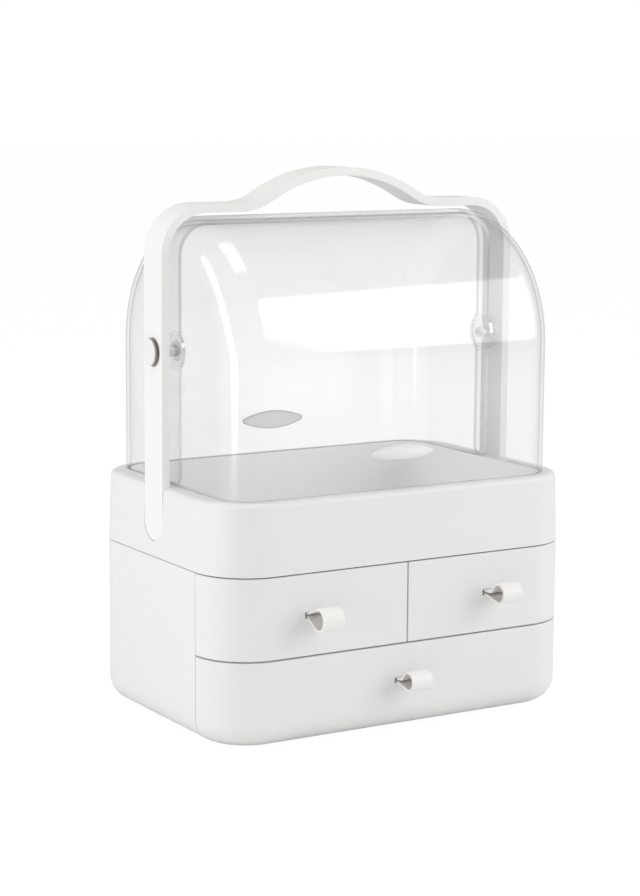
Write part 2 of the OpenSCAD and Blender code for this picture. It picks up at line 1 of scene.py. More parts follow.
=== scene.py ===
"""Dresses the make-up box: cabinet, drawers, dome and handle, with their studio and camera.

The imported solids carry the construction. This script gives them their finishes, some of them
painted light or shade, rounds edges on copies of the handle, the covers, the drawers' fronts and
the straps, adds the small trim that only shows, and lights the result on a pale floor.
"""

import json
import logging
import math
from dataclasses import dataclass, field
from enum import Enum
from typing import Any, Union

import bmesh
import bpy
from mathutils import Matrix, Vector
from mathutils.bvhtree import BVHTree


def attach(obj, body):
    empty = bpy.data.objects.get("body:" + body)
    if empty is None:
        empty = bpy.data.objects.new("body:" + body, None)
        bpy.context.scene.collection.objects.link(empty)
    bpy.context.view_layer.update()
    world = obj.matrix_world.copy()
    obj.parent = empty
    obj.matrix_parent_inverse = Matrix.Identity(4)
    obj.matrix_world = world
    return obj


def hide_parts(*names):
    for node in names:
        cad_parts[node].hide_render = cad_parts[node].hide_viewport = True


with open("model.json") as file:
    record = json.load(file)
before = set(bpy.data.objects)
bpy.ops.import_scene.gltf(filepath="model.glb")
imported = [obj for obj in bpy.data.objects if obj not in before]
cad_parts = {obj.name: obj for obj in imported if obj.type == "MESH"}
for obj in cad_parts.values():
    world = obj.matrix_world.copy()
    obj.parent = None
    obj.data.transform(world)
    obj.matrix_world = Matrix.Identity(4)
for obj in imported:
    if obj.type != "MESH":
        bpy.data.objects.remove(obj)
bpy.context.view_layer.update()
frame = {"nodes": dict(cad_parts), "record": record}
SLOTS = {entry["node"]: entry["material_slot"] for entry in frame["record"]["subparts"]}

LOG = logging.getLogger("makeup_box")
MM = 0.001
WELD_DISTANCE = 0.001 * MM
FLAT_DEGREES = 0.5
CREASE_DEGREES = 32.0
NOISE_MEAN = 0.5
WHITE = (1.0, 1.0, 1.0, 1.0)
Colour = tuple[float, float, float]
Place = tuple[float, float, float]


class Side(Enum):
    """The two sides of the box, as signs along X."""

    LEFT = -1
    RIGHT = 1


class Bay(Enum):
    """The three drawers, by the word that begins the names of their nodes."""

    LEFT = "left"
    RIGHT = "right"
    BOTTOM = "bottom"


# ---------- Shader maths ----------


class Signal:
    """A node's output that can be used in a Python expression."""

    def __init__(self, owner: "Nodes", socket: bpy.types.NodeSocket) -> None:
        """Wraps one output socket.

        Args:
            owner: The tree that holds the socket.
            socket: The output socket.
        """
        self.owner = owner
        self.socket = socket

    def _math(self, operation: str, *values: Union["Signal", float]) -> "Signal":
        """Adds a Math node.

        Args:
            operation: The node's operation.
            values: Its operands, in order.

        Returns:
            The node's result.
        """
        sockets = dict(enumerate(values))
        return self.owner.node("ShaderNodeMath", {"operation": operation}, sockets)

    def __add__(self, other: Union["Signal", float]) -> "Signal":
        """Sum."""
        return self._math("ADD", self, other)

    def __radd__(self, other: float) -> "Signal":
        """Sum with the number first."""
        return self._math("ADD", other, self)

    def __sub__(self, other: Union["Signal", float]) -> "Signal":
        """Difference."""
        return self._math("SUBTRACT", self, other)

    def __mul__(self, other: Union["Signal", float]) -> "Signal":
        """Product."""
        return self._math("MULTIPLY", self, other)

    def __rmul__(self, other: float) -> "Signal":
        """Product with the number first."""
        return self._math("MULTIPLY", other, self)

    def __pow__(self, other: Union["Signal", float]) -> "Signal":
        """Power."""
        return self._math("POWER", self, other)


class Nodes:
    """A node tree and the ways to add to it."""

    def __init__(self, tree: bpy.types.NodeTree) -> None:
        """Empties the tree.

        Args:
            tree: The tree.
        """
        self.tree = tree
        self.tree.nodes.clear()

    def node(
        self,
        kind: str,
        settings: dict[str, Any],
        sockets: dict[Union[int, str], Any],
        output: Union[int, str] = 0,
    ) -> Signal:
        """Adds a node.

        Args:
            kind: The node's type.
            settings: Its own settings, set before its sockets.
            sockets: A value or a Signal for each input, by name or index.
            output: Which output is returned, by index or name.

        Returns:
            The chosen output.
        """
        made = self.tree.nodes.new(kind)
        for key, value in settings.items():
            setattr(made, key, value)
        for key, value in sockets.items():
            self.feed(made.inputs[key], value)
        return Signal(self, made.outputs[output])

    def feed(self, socket: bpy.types.NodeSocket, value: Any) -> None:
        """Links a Signal to an input, or sets the input's value.

        Args:
            socket: The input.
            value: The Signal or the plain value.
        """
        if isinstance(value, Signal):
            self.tree.links.new(value.socket, socket)
        else:
            socket.default_value = value


class Shader(Nodes):
    """One material's node tree."""

    def __init__(self, name: str) -> None:
        """Makes the material with a Principled BSDF at its end.

        Args:
            name: The material's name.
        """
        self.material = bpy.data.materials.new(name)
        self.material.use_nodes = True
        super().__init__(self.material.node_tree)
        self.bsdf = self.tree.nodes.new("ShaderNodeBsdfPrincipled")
        self.out = self.tree.nodes.new("ShaderNodeOutputMaterial")
        self.show(Signal(self, self.bsdf.outputs["BSDF"]))

    def show(self, surface: Signal) -> None:
        """Makes a shader the material's surface.

        Args:
            surface: The shader.
        """
        self.feed(self.out.inputs["Surface"], surface)

    def mix(self, share: Union[Signal, float], first: Signal, second: Signal) -> Signal:
        """Mixes two shaders.

        Args:
            share: How much of the second there is.
            first: The first shader.
            second: The second shader.

        Returns:
            The mix.
        """
        return self.node("ShaderNodeMixShader", {}, {0: share, 1: first, 2: second})

    def place(self, scale: float) -> Signal:
        """Object coordinates, scaled.

        Args:
            scale: How many units of the pattern there are to a metre.

        Returns:
            The scaled vector.
        """
        coords = self.node("ShaderNodeTexCoord", {}, {}, "Object")
        return self.node(
            "ShaderNodeVectorMath",
            {"operation": "MULTIPLY"},
            {0: coords, 1: (scale, scale, scale)},
        )

    def noise(self, per_metre: float, detail: float = 2.0) -> Signal:
        """Smooth noise on Object coordinates.

        Args:
            per_metre: How many blobs there are to a metre.
            detail: The noise's detail.

        Returns:
            The noise, about 0.5 on average.
        """
        return self.node(
            "ShaderNodeTexNoise",
            {},
            {"Vector": self.place(per_metre), "Scale": 1.0, "Detail": detail},
        )

    def set(self, **values: Any) -> None:
        """Sets or feeds the shader's own sockets.

        Args:
            values: A value for each socket, its name in lower case with _ for spaces.
        """
        names = {s.name.lower().replace(" ", "_"): s for s in self.bsdf.inputs}
        for key, value in values.items():
            self.feed(names[key], value)

    def bump(self, height: Signal, distance: float, strength: float) -> Signal:
        """Turns a height into a normal.

        Args:
            height: The height signal.
            distance: The bump's depth in metres.
            strength: How strongly it acts.

        Returns:
            The normal.
        """
        return self.node(
            "ShaderNodeBump",
            {},
            {"Height": height, "Distance": distance, "Strength": strength},
        )


class Geometry(Nodes):
    """One Geometry Nodes tree with named inputs."""

    def __init__(self, name: str, inputs: dict[str, tuple[str, Any]]) -> None:
        """Makes the tree with its inputs.

        Args:
            name: The tree's name.
            inputs: The type and the default of each input, by name. None is no default.
        """
        tree = bpy.data.node_groups.new(name, "GeometryNodeTree")
        super().__init__(tree)
        tree.interface.new_socket("Geometry", in_out="INPUT", socket_type="NodeSocketGeometry")
        tree.interface.new_socket("Geometry", in_out="OUTPUT", socket_type="NodeSocketGeometry")
        for key, (kind, default) in inputs.items():
            made = tree.interface.new_socket(key, in_out="INPUT", socket_type=kind)
            if default is not None:
                made.default_value = default
        self.entry = tree.nodes.new("NodeGroupInput")
        self.exit = tree.nodes.new("NodeGroupOutput")

    def input(self, name: str) -> Signal:
        """One of the tree's inputs.

        Args:
            name: The input's name.

        Returns:
            Its signal.
        """
        return Signal(self, self.entry.outputs[name])

    def result(self, geometry: Signal) -> None:
        """Makes a geometry the tree's result.

        Args:
            geometry: The geometry.
        """
        self.feed(self.exit.inputs[0], geometry)

    def apply(self, obj: bpy.types.Object, values: dict[str, Any]) -> None:
        """Runs the tree on an object and keeps the result as its mesh.

        Args:
            obj: The object.
            values: A value for each named input that differs from its default.
        """
        modifier = obj.modifiers.new(self.tree.name, "NODES")
        modifier.node_group = self.tree
        for item in self.tree.interface.items_tree:
            if item.in_out == "INPUT" and item.name in values:
                modifier[item.identifier] = values[item.name]
        obj.update_tag()
        keep_shape(obj)


# ---------- Finishes ----------


@dataclass(frozen=True)
class MouldedPlastic:
    """Moulded plastic with a faint texture and an uneven sheen, milky where alpha is below 1."""

    name: str
    colour: Colour
    roughness: float = 0.42
    unevenness: float = 0.05
    sheen_per_metre: float = 9.0
    grain_per_metre: float = 1500.0
    grain_depth: float = 0.02 * MM
    grain_strength: float = 0.06
    alpha: float = 1.0
    ior: float = 1.46

    def build(self) -> bpy.types.Material:
        """Makes the material.

        Returns:
            The material.
        """
        shader = Shader(self.name)
        sheen = shader.noise(self.sheen_per_metre)
        grain = shader.noise(self.grain_per_metre)
        shader.set(
            base_color=(*self.colour, 1.0),
            roughness=self.roughness + self.unevenness * (sheen - NOISE_MEAN),
            normal=shader.bump(grain, self.grain_depth, self.grain_strength),
            alpha=self.alpha,
            ior=self.ior,
        )
        return shader.material


@dataclass(frozen=True)
class ClearPlastic:
    """Clear polished plastic of the two covers and the rings moulded in them.

    Each face lets the view through unbent, a little greyer where it is seen at a slant, darker
    still where it is almost edge on, and mirrors the more the flatter it is seen.
    """

    name: str
    tint: Colour = (0.988, 0.988, 0.987)
    slant_tint: Colour = (0.89, 0.89, 0.89)
    slant_power: float = 2.0
    edge_tint: Colour = (0.7, 0.7, 0.703)
    edge_power: float = 10.0
    head_on: float = 0.045
    mirror_power: float = 8.0
    roughness: float = 0.09
    facing_blend: float = 0.5

    def build(self) -> bpy.types.Material:
        """Makes the material.

        Returns:
            The material.
        """
        shader = Shader(self.name)
        slant = shader.node("ShaderNodeLayerWeight", {}, {"Blend": self.facing_blend}, "Facing")
        clear, dull, dark = (
            shader.node("ShaderNodeBsdfTransparent", {}, {"Color": (*tint, 1.0)})
            for tint in (self.tint, self.slant_tint, self.edge_tint)
        )
        shine = shader.node(
            "ShaderNodeBsdfGlossy",
            {},
            {"Color": WHITE, "Roughness": self.roughness},
        )
        seen = shader.mix(slant**self.slant_power, clear, dull)
        seen = shader.mix(slant**self.edge_power, seen, dark)
        mirrored = self.head_on + (1.0 - self.head_on) * slant**self.mirror_power
        shader.tree.nodes.remove(shader.bsdf)
        shader.show(shader.mix(mirrored, seen, shine))
        return shader.material


@dataclass(frozen=True)
class SoftStrap:
    """Smooth soft strap of coated leather."""

    name: str
    colour: Colour
    roughness: float = 0.5
    unevenness: float = 0.06
    grain_per_metre: float = 900.0
    grain_detail: float = 4.0
    grain_depth: float = 0.05 * MM
    grain_strength: float = 0.15

    def build(self) -> bpy.types.Material:
        """Makes the material.

        Returns:
            The material.
        """
        shader = Shader(self.name)
        grain = shader.noise(self.grain_per_metre, self.grain_detail)
        shader.set(
            base_color=(*self.colour, 1.0),
            roughness=self.roughness + self.unevenness * (grain - NOISE_MEAN),
            normal=shader.bump(grain, self.grain_depth, self.grain_strength),
        )
        return shader.material


@dataclass(frozen=True)
class PlatedSteel:
    """Bright plated steel of the screws and the straps' bars."""

    name: str
    colour: Colour
    roughness: float = 0.28
    unevenness: float = 0.1
    wear_per_metre: float = 600.0

    def build(self) -> bpy.types.Material:
        """Makes the material.

        Returns:
            The material.
        """
        shader = Shader(self.name)
        wear = shader.noise(self.wear_per_metre)
        shader.set(
            base_color=(*self.colour, 1.0),
            metallic=1.0,
            roughness=self.roughness + self.unevenness * (wear - NOISE_MEAN),
        )
        return shader.material


Finish = Union[MouldedPlastic, ClearPlastic, SoftStrap, PlatedSteel]


@dataclass
class Palette:
    """Every finish of the box, by the record's slot or the place that it dresses; some are painted
    light or shade.
    """

    finishes: dict[str, Finish] = field(
        default_factory=lambda: {
            "white_body": MouldedPlastic("satin_white_body", (0.82, 0.819, 0.814)),
            "white_drawer": MouldedPlastic("satin_white_drawer", (0.82, 0.819, 0.814)),
            "white_handle": MouldedPlastic("satin_white_handle", (0.88, 0.877, 0.868)),
            "clear_cover": ClearPlastic("clear_cover_plastic"),
            # Darker tint on the covers' cut edges: painted shade for the light that the cut
            # plastic bends away.
            "clear_edge": ClearPlastic("clear_cover_edge", (0.76, 0.76, 0.765), head_on=0.28),
            "clear_cap": MouldedPlastic(
                "frosted_cap_plastic", (0.95, 0.95, 0.95), roughness=0.2, alpha=0.4
            ),
            "ring": ClearPlastic("moulded_ring_plastic", (0.93, 0.93, 0.93), head_on=0.08),
            "white_strap": SoftStrap("white_strap_leather", (0.88, 0.873, 0.85)),
            # Darker, warmer inside of each strap loop: painted shade, not a lining.
            "strap_lining": SoftStrap("strap_lining_suede", (0.76, 0.73, 0.7), roughness=0.8),
            # Whiter inside of the tray: painted light for the light that the covers hold back.
            "white_tray_inner": MouldedPlastic("satin_white_tray_inner", (0.9, 0.901, 0.902)),
            # Brown-grey side wall of each knob: painted shade, not a second plastic.
            "knob_wall": MouldedPlastic("knob_wall_plastic", (0.42, 0.38, 0.35), roughness=0.35),
            "steel": PlatedSteel("plated_steel", (0.66, 0.67, 0.69)),
            "foot_rubber": MouldedPlastic("foot_rubber", (0.035, 0.035, 0.037), roughness=0.8),
            # The washers' brown-grey is partly their own rubber and partly painted shade for the
            # recess behind each knob.
            "dark_washer": MouldedPlastic("washer_rubber", (0.45, 0.41, 0.38), roughness=0.7),
            "grey_badge": MouldedPlastic("badge_plastic", (0.79, 0.79, 0.785), roughness=0.35),
            # Darker grey bead round the rear plate: painted shade along the plate's outline.
            "badge_bead": MouldedPlastic("badge_bead_plastic", (0.5, 0.5, 0.5), roughness=0.3),
        }
    )
    built: dict[str, bpy.types.Material] = field(default_factory=dict)

    def material(self, finish: str) -> bpy.types.Material:
        """A finish's material, made when it is first asked for.

        Args:
            finish: The finish's name.

        Returns:
            The material.
        """
        if finish not in self.built:
            self.built[finish] = self.finishes[finish].build()
        return self.built[finish]

    def dress(self, obj: bpy.types.Object, *finishes: str) -> None:
        """Gives an object its finishes and nothing else.

        Args:
            obj: The object.
            finishes: Their names, in the order of its material slots.
        """
        obj.data.materials.clear()
        for finish in finishes:
            obj.data.materials.append(self.material(finish))


# ---------- Meshes ----------


def add_object(name: str, data: bpy.types.ID) -> bpy.types.Object:
    """Adds an object to the scene.

    Args:
        name: Its name.
        data: Its mesh, light or camera.

    Returns:
        The new object.
    """
    made = bpy.data.objects.new(name, data)
    bpy.context.scene.collection.objects.link(made)
    return made


def keep_shape(obj: bpy.types.Object) -> None:
    """Makes what an object's modifiers show its own mesh, and drops the modifiers.

    Args:
        obj: The object.
    """
    graph = bpy.context.evaluated_depsgraph_get()
    mesh = bpy.data.meshes.new_from_object(obj.evaluated_get(graph))
    obj.modifiers.clear()
    obj.data = mesh


def paint(obj: bpy.types.Object, faces: set[int], material: int) -> None:
    """Gives some of an object's faces another of its materials.

    Args:
        obj: The object.
        faces: The faces' indices.
        material: The material's index.
    """
    for face in faces:
        obj.data.polygons[face].material_index = material


def smooth_by_angle(mesh: bpy.types.Mesh, degrees: float) -> None:
    """Shades a mesh smooth, with its edges sharp past an angle.

    Args:
        mesh: The mesh.
        degrees: The angle.
    """
    mesh.shade_smooth()
    mesh.set_sharp_from_angle(angle=math.radians(degrees))


def plain_copy(node: str, name: str) -> bpy.types.Object:
    """A copy of a CAD node's mesh with its own shading.

    Args:
        node: The CAD node.
        name: The copy's name.

    Returns:
        The new object.
    """
    mesh = frame["nodes"][node].data.copy()
    mesh.name = name
    return add_object(name, mesh)


def welded_copy(node: str, name: str) -> bpy.types.Object:
    """A copy of a CAD node's mesh, its loose triangles welded and its flat faces made whole.

    Args:
        node: The CAD node.
        name: The copy's name.

    Returns:
        The new object.
    """
    made = plain_copy(node, name)
    mesh = made.data
    shape = bmesh.new()
    shape.from_mesh(mesh)
    bmesh.ops.remove_doubles(shape, verts=shape.verts, dist=WELD_DISTANCE)
    bmesh.ops.dissolve_limit(
        shape, angle_limit=math.radians(FLAT_DEGREES), verts=shape.verts, edges=shape.edges
    )
    shape.to_mesh(mesh)
    shape.free()
    smooth_by_angle(mesh, CREASE_DEGREES)
    return made


def round_edges(
    obj: bpy.types.Object,
    radius: float,
    segments: int,
    degrees: float = 30.0,
    material: int = -1,
    marked: bool = False,
) -> None:
    """Rounds an object's sharp edges, shades its flat faces flat and keeps this as its mesh.

    Args:
        obj: The object.
        radius: The edges' radius in metres.
        segments: How many faces a quarter turn has.
        degrees: Edges sharper than this are rounded.
        material: Which of its materials the rounding has, -1 for that of the faces beside it.
        marked: Rounds the edges that mark_rim marked instead.
    """
    bevel = obj.modifiers.new("round_edges", "BEVEL")
    bevel.width = radius
    bevel.segments = segments
    bevel.limit_method = "WEIGHT" if marked else "ANGLE"
    bevel.angle_limit = math.radians(degrees)
    bevel.use_clamp_overlap = not marked
    bevel.material = material
    keep_shape(obj)
    smooth_by_angle(obj.data, CREASE_DEGREES)
    flat = obj.modifiers.new("keep_flats_flat", "WEIGHTED_NORMAL")
    flat.mode = "FACE_AREA"
    flat.keep_sharp = True
    keep_shape(obj)


def mark_rim(obj: bpy.types.Object, degrees: float = 50.0, within: float = 0.02 * MM) -> None:
    """Marks the sharp edges that lie in the flat ends of an object's box, for round_edges.

    Args:
        obj: The object.
        degrees: Edges sharper than this are marked.
        within: How near an end of the box an edge has to lie.
    """
    mesh = obj.data
    shape = bmesh.new()
    shape.from_mesh(mesh)
    weight = shape.edges.layers.float.new("bevel_weight_edge")
    points = [v.co for v in shape.verts]
    ends = [(axis, pick(p[axis] for p in points)) for axis in range(3) for pick in (min, max)]
    for edge in shape.edges:
        on_end = any(all(abs(v.co[axis] - at) < within for v in edge.verts) for axis, at in ends)
        if on_end and edge.calc_face_angle(0.0) > math.radians(degrees):
            edge[weight] = 1.0
    shape.to_mesh(mesh)
    shape.free()


def rays_at(mesh: bpy.types.Mesh) -> BVHTree:
    """A tree of a mesh's faces that rays can be cast at.

    Args:
        mesh: The mesh.

    Returns:
        The tree.
    """
    return BVHTree.FromPolygons([v.co for v in mesh.vertices], [f.vertices for f in mesh.polygons])


def facing_itself(mesh: bpy.types.Mesh, lift: float = 0.05 * MM) -> set[int]:
    """Finds the faces that look at another face of the same mesh.

    Args:
        mesh: The mesh.
        lift: How far in front of its own face a look starts.

    Returns:
        The faces' indices.
    """
    tree = rays_at(mesh)
    return {
        face.index
        for face in mesh.polygons
        if tree.ray_cast(face.center + lift * face.normal, face.normal)[0] is not None
    }


def end_faces(
    mesh: bpy.types.Mesh,
    wall: float,
    half_width: float,
    sideways: float = 0.5,
    lift: float = 0.02 * MM,
) -> set[int]:
    """Finds the faces that close the open edges of a thin shell.

    Args:
        mesh: The shell.
        wall: Its thickness in metres.
        half_width: How far out along X the shell itself goes.
        sideways: A normal's share along X that counts as looking sideways.
        lift: How far behind its own face a look starts.

    Returns:
        The indices of the faces behind which the plastic goes on for more than twice the wall, but
        for those that look sideways or are further out than the shell.
    """
    tree = rays_at(mesh)
    ends = set()
    for face in mesh.polygons:
        depth = tree.ray_cast(face.center - lift * face.normal, -face.normal)[3]
        upright = abs(face.normal.x) < sideways and abs(face.center.x) < half_width
        if upright and depth is not None and depth > 2.0 * wall:
            ends.add(face.index)
    return ends


def rings_tree() -> Geometry:
    """Concentric round beads about the X axis, standing on a plane.

    Returns:
        The tree.
    """
    tree = Geometry(
        "concentric_rings",
        {
            "Centre": ("NodeSocketVector", None),
            "Rings": ("NodeSocketInt", 3),
            "First Radius": ("NodeSocketFloat", 9.0 * MM),
            "Step": ("NodeSocketFloat", 2.2 * MM),
            "Bead Radius": ("NodeSocketFloat", 0.3 * MM),
            "Sides": ("NodeSocketInt", 64),
            "Material": ("NodeSocketMaterial", None),
        },
    )
    index = tree.node("GeometryNodeInputIndex", {}, {})
    spots = tree.node(
        "GeometryNodePoints",
        {},
        {"Count": tree.input("Rings"), "Position": tree.input("Centre")},
    )
    circle = tree.node(
        "GeometryNodeCurvePrimitiveCircle",
        {},
        {"Resolution": tree.input("Sides"), "Radius": 1.0},
    )
    placed = tree.node(
        "GeometryNodeInstanceOnPoints",
        {},
        {
            "Points": spots,
            "Instance": circle,
            "Rotation": (0.0, math.pi / 2, 0.0),
            "Scale": tree.input("First Radius") + index * tree.input("Step"),
        },
    )
    path = tree.node("GeometryNodeRealizeInstances", {}, {"Geometry": placed})
    tree.result(bead_along(tree, path))
    return tree


def outline_tree() -> Geometry:
    """A round bead along every sharp edge of a mesh, added to the mesh.

    Returns:
        The tree.
    """
    tree = Geometry(
        "outline_bead",
        {
            "Least Angle": ("NodeSocketFloat", math.radians(50.0)),
            "Bead Radius": ("NodeSocketFloat", 0.35 * MM),
            "Material": ("NodeSocketMaterial", None),
        },
    )
    angle = tree.node("GeometryNodeInputMeshEdgeAngle", {}, {})
    sharp = tree.node(
        "FunctionNodeCompare",
        {"data_type": "FLOAT", "operation": "GREATER_THAN"},
        {0: angle, 1: tree.input("Least Angle")},
    )
    path = tree.node(
        "GeometryNodeMeshToCurve",
        {},
        {"Mesh": tree.input("Geometry"), "Selection": sharp},
    )
    both = tree.tree.nodes.new("GeometryNodeJoinGeometry")
    for part in (bead_along(tree, path), tree.input("Geometry")):
        tree.feed(both.inputs[0], part)
    tree.result(Signal(tree, both.outputs[0]))
    return tree


def bead_along(tree: Geometry, path: Signal, sides: int = 8) -> Signal:
    """Sweeps a round bead along curves, smooth and in the tree's material.

    Args:
        tree: The tree, with inputs Bead Radius and Material.
        path: The curves.
        sides: How many sides the bead has.

    Returns:
        The bead's mesh.
    """
    profile = tree.node(
        "GeometryNodeCurvePrimitiveCircle",
        {},
        {"Resolution": sides, "Radius": tree.input("Bead Radius")},
    )
    bead = tree.node("GeometryNodeCurveToMesh", {}, {"Curve": path, "Profile Curve": profile})
    smooth = tree.node("GeometryNodeSetShadeSmooth", {}, {"Geometry": bead})
    return tree.node(
        "GeometryNodeSetMaterial",
        {},
        {"Geometry": smooth, "Material": tree.input("Material")},
    )


# ---------- Sub-assemblies ----------


@dataclass
class SubAssembly:
    """A group of CAD nodes that are dressed together."""

    palette: Palette

    def stand_in(self, obj: bpy.types.Object, node: str, body: str) -> None:
        """Puts a finished copy in its CAD node's place.

        Args:
            obj: The copy.
            node: The CAD node.
            body: The body that the node moves with.
        """
        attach(obj, body)
        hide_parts(node)
        LOG.info("%s stands in for %s", obj.name, node)

    def dress_nodes(self, nodes: list[str]) -> None:
        """Gives each CAD node its slot's material.

        Args:
            nodes: The nodes' names.
        """
        for node in nodes:
            self.palette.dress(frame["nodes"][node], SLOTS[node])
            LOG.info("%s: %s", node, SLOTS[node])


@dataclass
class Cabinet(SubAssembly):
    """Carcass, shelf, divider and feet."""

    def build(self) -> None:
        """Dresses the carcass and what is fixed in it."""
        corners = [f"foot_{end}_{side.name.lower()}" for end in ("front", "rear") for side in Side]
        self.dress_nodes(["cabinet_shell", "drawer_shelf", "bay_divider", *corners])


@dataclass
class Tray(SubAssembly):
    """Open tray with its screws."""

    rim_depth: float = 6.0 * MM
    floor_normal: float = 0.9

    def build(self) -> None:
        """Dresses the tray with painted light inside, its inner walls and floor whiter, and its
        screws.
        """
        tray = plain_copy("tray", "open_tray")
        self.palette.dress(tray, "white_body", "white_tray_inner")
        # The inner walls and floor get the whiter colour: painted light inside the tray.
        inner = facing_itself(tray.data)
        rim = max(v.co.z for v in tray.data.vertices) - self.rim_depth
        inner |= {
            f.index
            for f in tray.data.polygons
            if f.normal.z > self.floor_normal and f.center.z < rim
        }
        paint(tray, inner, 1)
        self.stand_in(tray, "tray", "case")
        self.dress_nodes(["tray_screws"])


@dataclass
class Handle(SubAssembly):
    """Carrying handle: one flat strap with its edges rounded."""

    edge_radius: float = 1.2 * MM
    edge_segments: int = 4

    def build(self) -> None:
        """Rounds the handle's edges and dresses its screws."""
        strap = welded_copy("handle", "carrying_handle")
        round_edges(strap, self.edge_radius, self.edge_segments)
        self.palette.dress(strap, "white_handle")
        self.stand_in(strap, "handle", "case")
        self.dress_nodes(["handle_screws"])


@dataclass
class Dome(SubAssembly):
    """Clear front and rear covers with the lift tab and the rear plate."""

    wall: float = 2.5 * MM
    half_width: float = 135.6 * MM
    edge_radius: float = 0.6 * MM
    edge_segments: int = 3

    def build(self) -> None:
        """Rounds the covers' edges and dresses what is on them."""
        for node, body in (("front_cover", "front_lid"), ("rear_cover", "case")):
            cover = welded_copy(node, f"clear_{node}")
            self.palette.dress(cover, "clear_cover", "clear_edge")
            # The cut edge faces take the darker clear_edge tint: painted shade.
            paint(cover, end_faces(cover.data, self.wall, self.half_width), 1)
            round_edges(cover, self.edge_radius, self.edge_segments, material=1)
            self.stand_in(cover, node, body)
        plate = welded_copy("rear_badge", "rear_plate")
        self.palette.dress(plate, "grey_badge")
        # The bead along the plate's outline is darker grey: painted shade.
        outline_tree().apply(plate, {"Material": self.palette.material("badge_bead")})
        self.stand_in(plate, "rear_badge", "case")
        self.dress_nodes(["lift_tab"])


@dataclass
class Pivots(SubAssembly):
    """Knobs, washers and caps that the front cover turns on."""

    rings_x: float = 130.0 * MM
    pivot_y: float = 14.0 * MM
    pivot_z: float = 268.0 * MM
    knob_inner_x: float = 149.5 * MM
    knob_face_normal: float = 0.6
    cap_lift: float = 0.15 * MM

    def build(self) -> None:
        """Dresses both pivots and adds the rings that are moulded round them."""
        tree = rings_tree()
        for side in Side:
            word = side.name.lower()
            self._knob(word)
            self._cap(word)
            # The washer's dark brown-grey is partly painted shade for the recess behind the knob.
            self.dress_nodes([f"pivot_washer_{word}"])
            name = f"pivot_rings_{word}"
            rings = add_object(name, bpy.data.meshes.new(name))
            centre = (side.value * self.rings_x, self.pivot_y, self.pivot_z)
            tree.apply(rings, {"Centre": centre, "Material": self.palette.material("ring")})
            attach(rings, "case")

    def _cap(self, word: str) -> None:
        """Lifts a cap's back off the cover by a hair, so that light reaches it through the wall.

        Args:
            word: The side's word in the node's name.
        """
        cap = welded_copy(f"pivot_cap_{word}", f"cap_{word}")
        back_x = self.rings_x - self.cap_lift
        for vertex in cap.data.vertices:
            vertex.co.x = math.copysign(min(abs(vertex.co.x), back_x), vertex.co.x)
        self.palette.dress(cap, "clear_cap")
        self.stand_in(cap, f"pivot_cap_{word}", "case")

    def _knob(self, word: str) -> None:
        """Gives a knob's side wall painted shade, a darker brown-grey than the white knob.

        Args:
            word: The side's word in the node's name.
        """
        knob = welded_copy(f"pivot_knob_{word}", f"knob_{word}")
        self.palette.dress(knob, "white_body", "knob_wall")
        # Side faces of the knob's outer disc get the brown-grey: painted shade.
        wall = {
            f.index
            for f in knob.data.polygons
            if abs(f.normal.x) < self.knob_face_normal and abs(f.center.x) > self.knob_inner_x
        }
        paint(knob, wall, 1)
        self.stand_in(knob, f"pivot_knob_{word}", "case")


@dataclass
class Drawer(SubAssembly):
    """One drawer with its strap pull."""

    bay: Bay = Bay.BOTTOM
    front_edge_radius: float = 0.5 * MM
    front_edge_segments: int = 2
    strap_edge_radius: float = 0.3 * MM
    strap_edge_segments: int = 2
    strap_edge_degrees: float = 50.0

    def build(self) -> None:
        """Dresses the drawer, its front and its strap with soft edges, with painted shade on the
        strap loop's inner faces.
        """
        word = self.bay.value
        plain = ("drawer_box", "drawer_screws", "pull_bar")
        self.dress_nodes([f"{word}_{piece}" for piece in plain])
        front = welded_copy(f"{word}_drawer_front", f"{word}_front")
        self.palette.dress(front, "white_drawer")
        mark_rim(front)
        round_edges(front, self.front_edge_radius, self.front_edge_segments, marked=True)
        self.stand_in(front, f"{word}_drawer_front", f"{word}_drawer")
        strap = welded_copy(f"{word}_pull_loop", f"{word}_strap")
        self.palette.dress(strap, "white_strap", "strap_lining")
        # The faces inside the loop get the darker colour: painted shade.
        paint(strap, facing_itself(strap.data), 1)
        round_edges(
            strap, self.strap_edge_radius, self.strap_edge_segments, self.strap_edge_degrees
        )
        self.stand_in(strap, f"{word}_pull_loop", f"{word}_drawer")


# ---------- Studio ----------


@dataclass(frozen=True)
class Lamp:
    """Flat soft lamp, sized and placed in metres."""

    name: str
    centre: Place
    facing: Place
    long_way: Place
    size: tuple[float, float]
    radiance: float

    def build(self) -> None:
        """Adds the lamp, its height along the long way and its light going the way it faces."""
        data = bpy.data.lights.new(self.name, "AREA")
        data.shape = "RECTANGLE"
        data.size, data.size_y = self.size
        data.energy = self.radiance * math.pi * self.size[0] * self.size[1]
        back = -Vector(self.facing).normalized()
        across = Vector(self.long_way).cross(back).normalized()
        turn = Matrix((across, back.cross(across), back)).transposed().to_4x4()
        add_object(self.name, data).matrix_world = Matrix.Translation(self.centre) @ turn


